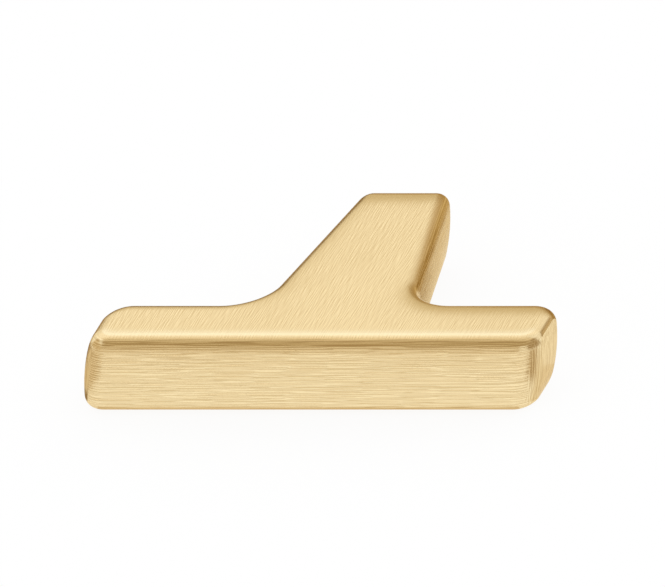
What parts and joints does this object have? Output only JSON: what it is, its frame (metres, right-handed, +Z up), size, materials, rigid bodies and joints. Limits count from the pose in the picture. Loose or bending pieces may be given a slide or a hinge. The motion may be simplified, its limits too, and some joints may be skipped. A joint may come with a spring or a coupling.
{
  "type": "cabinet knob",
  "caption": "T-shaped cabinet knob of brushed brass: a short rounded bar to pull on, and a tapered stem with a blind tapped screw hole in its flat end.",
  "frame": {"origin": "centre of the stem's flat end face, on the axis of the screw hole", "axes": "+X along the bar, +Y from the bar along the stem to the door, +Z up through the thickness"},
  "size_m": [0.0508, 0.0318, 0.009],
  "materials": {
    "brushed_brass": "satin, finely brushed"
  },
  "bodies": {
    "root": {"knob_body": "brushed_brass"}
  },
  "joints": []
}
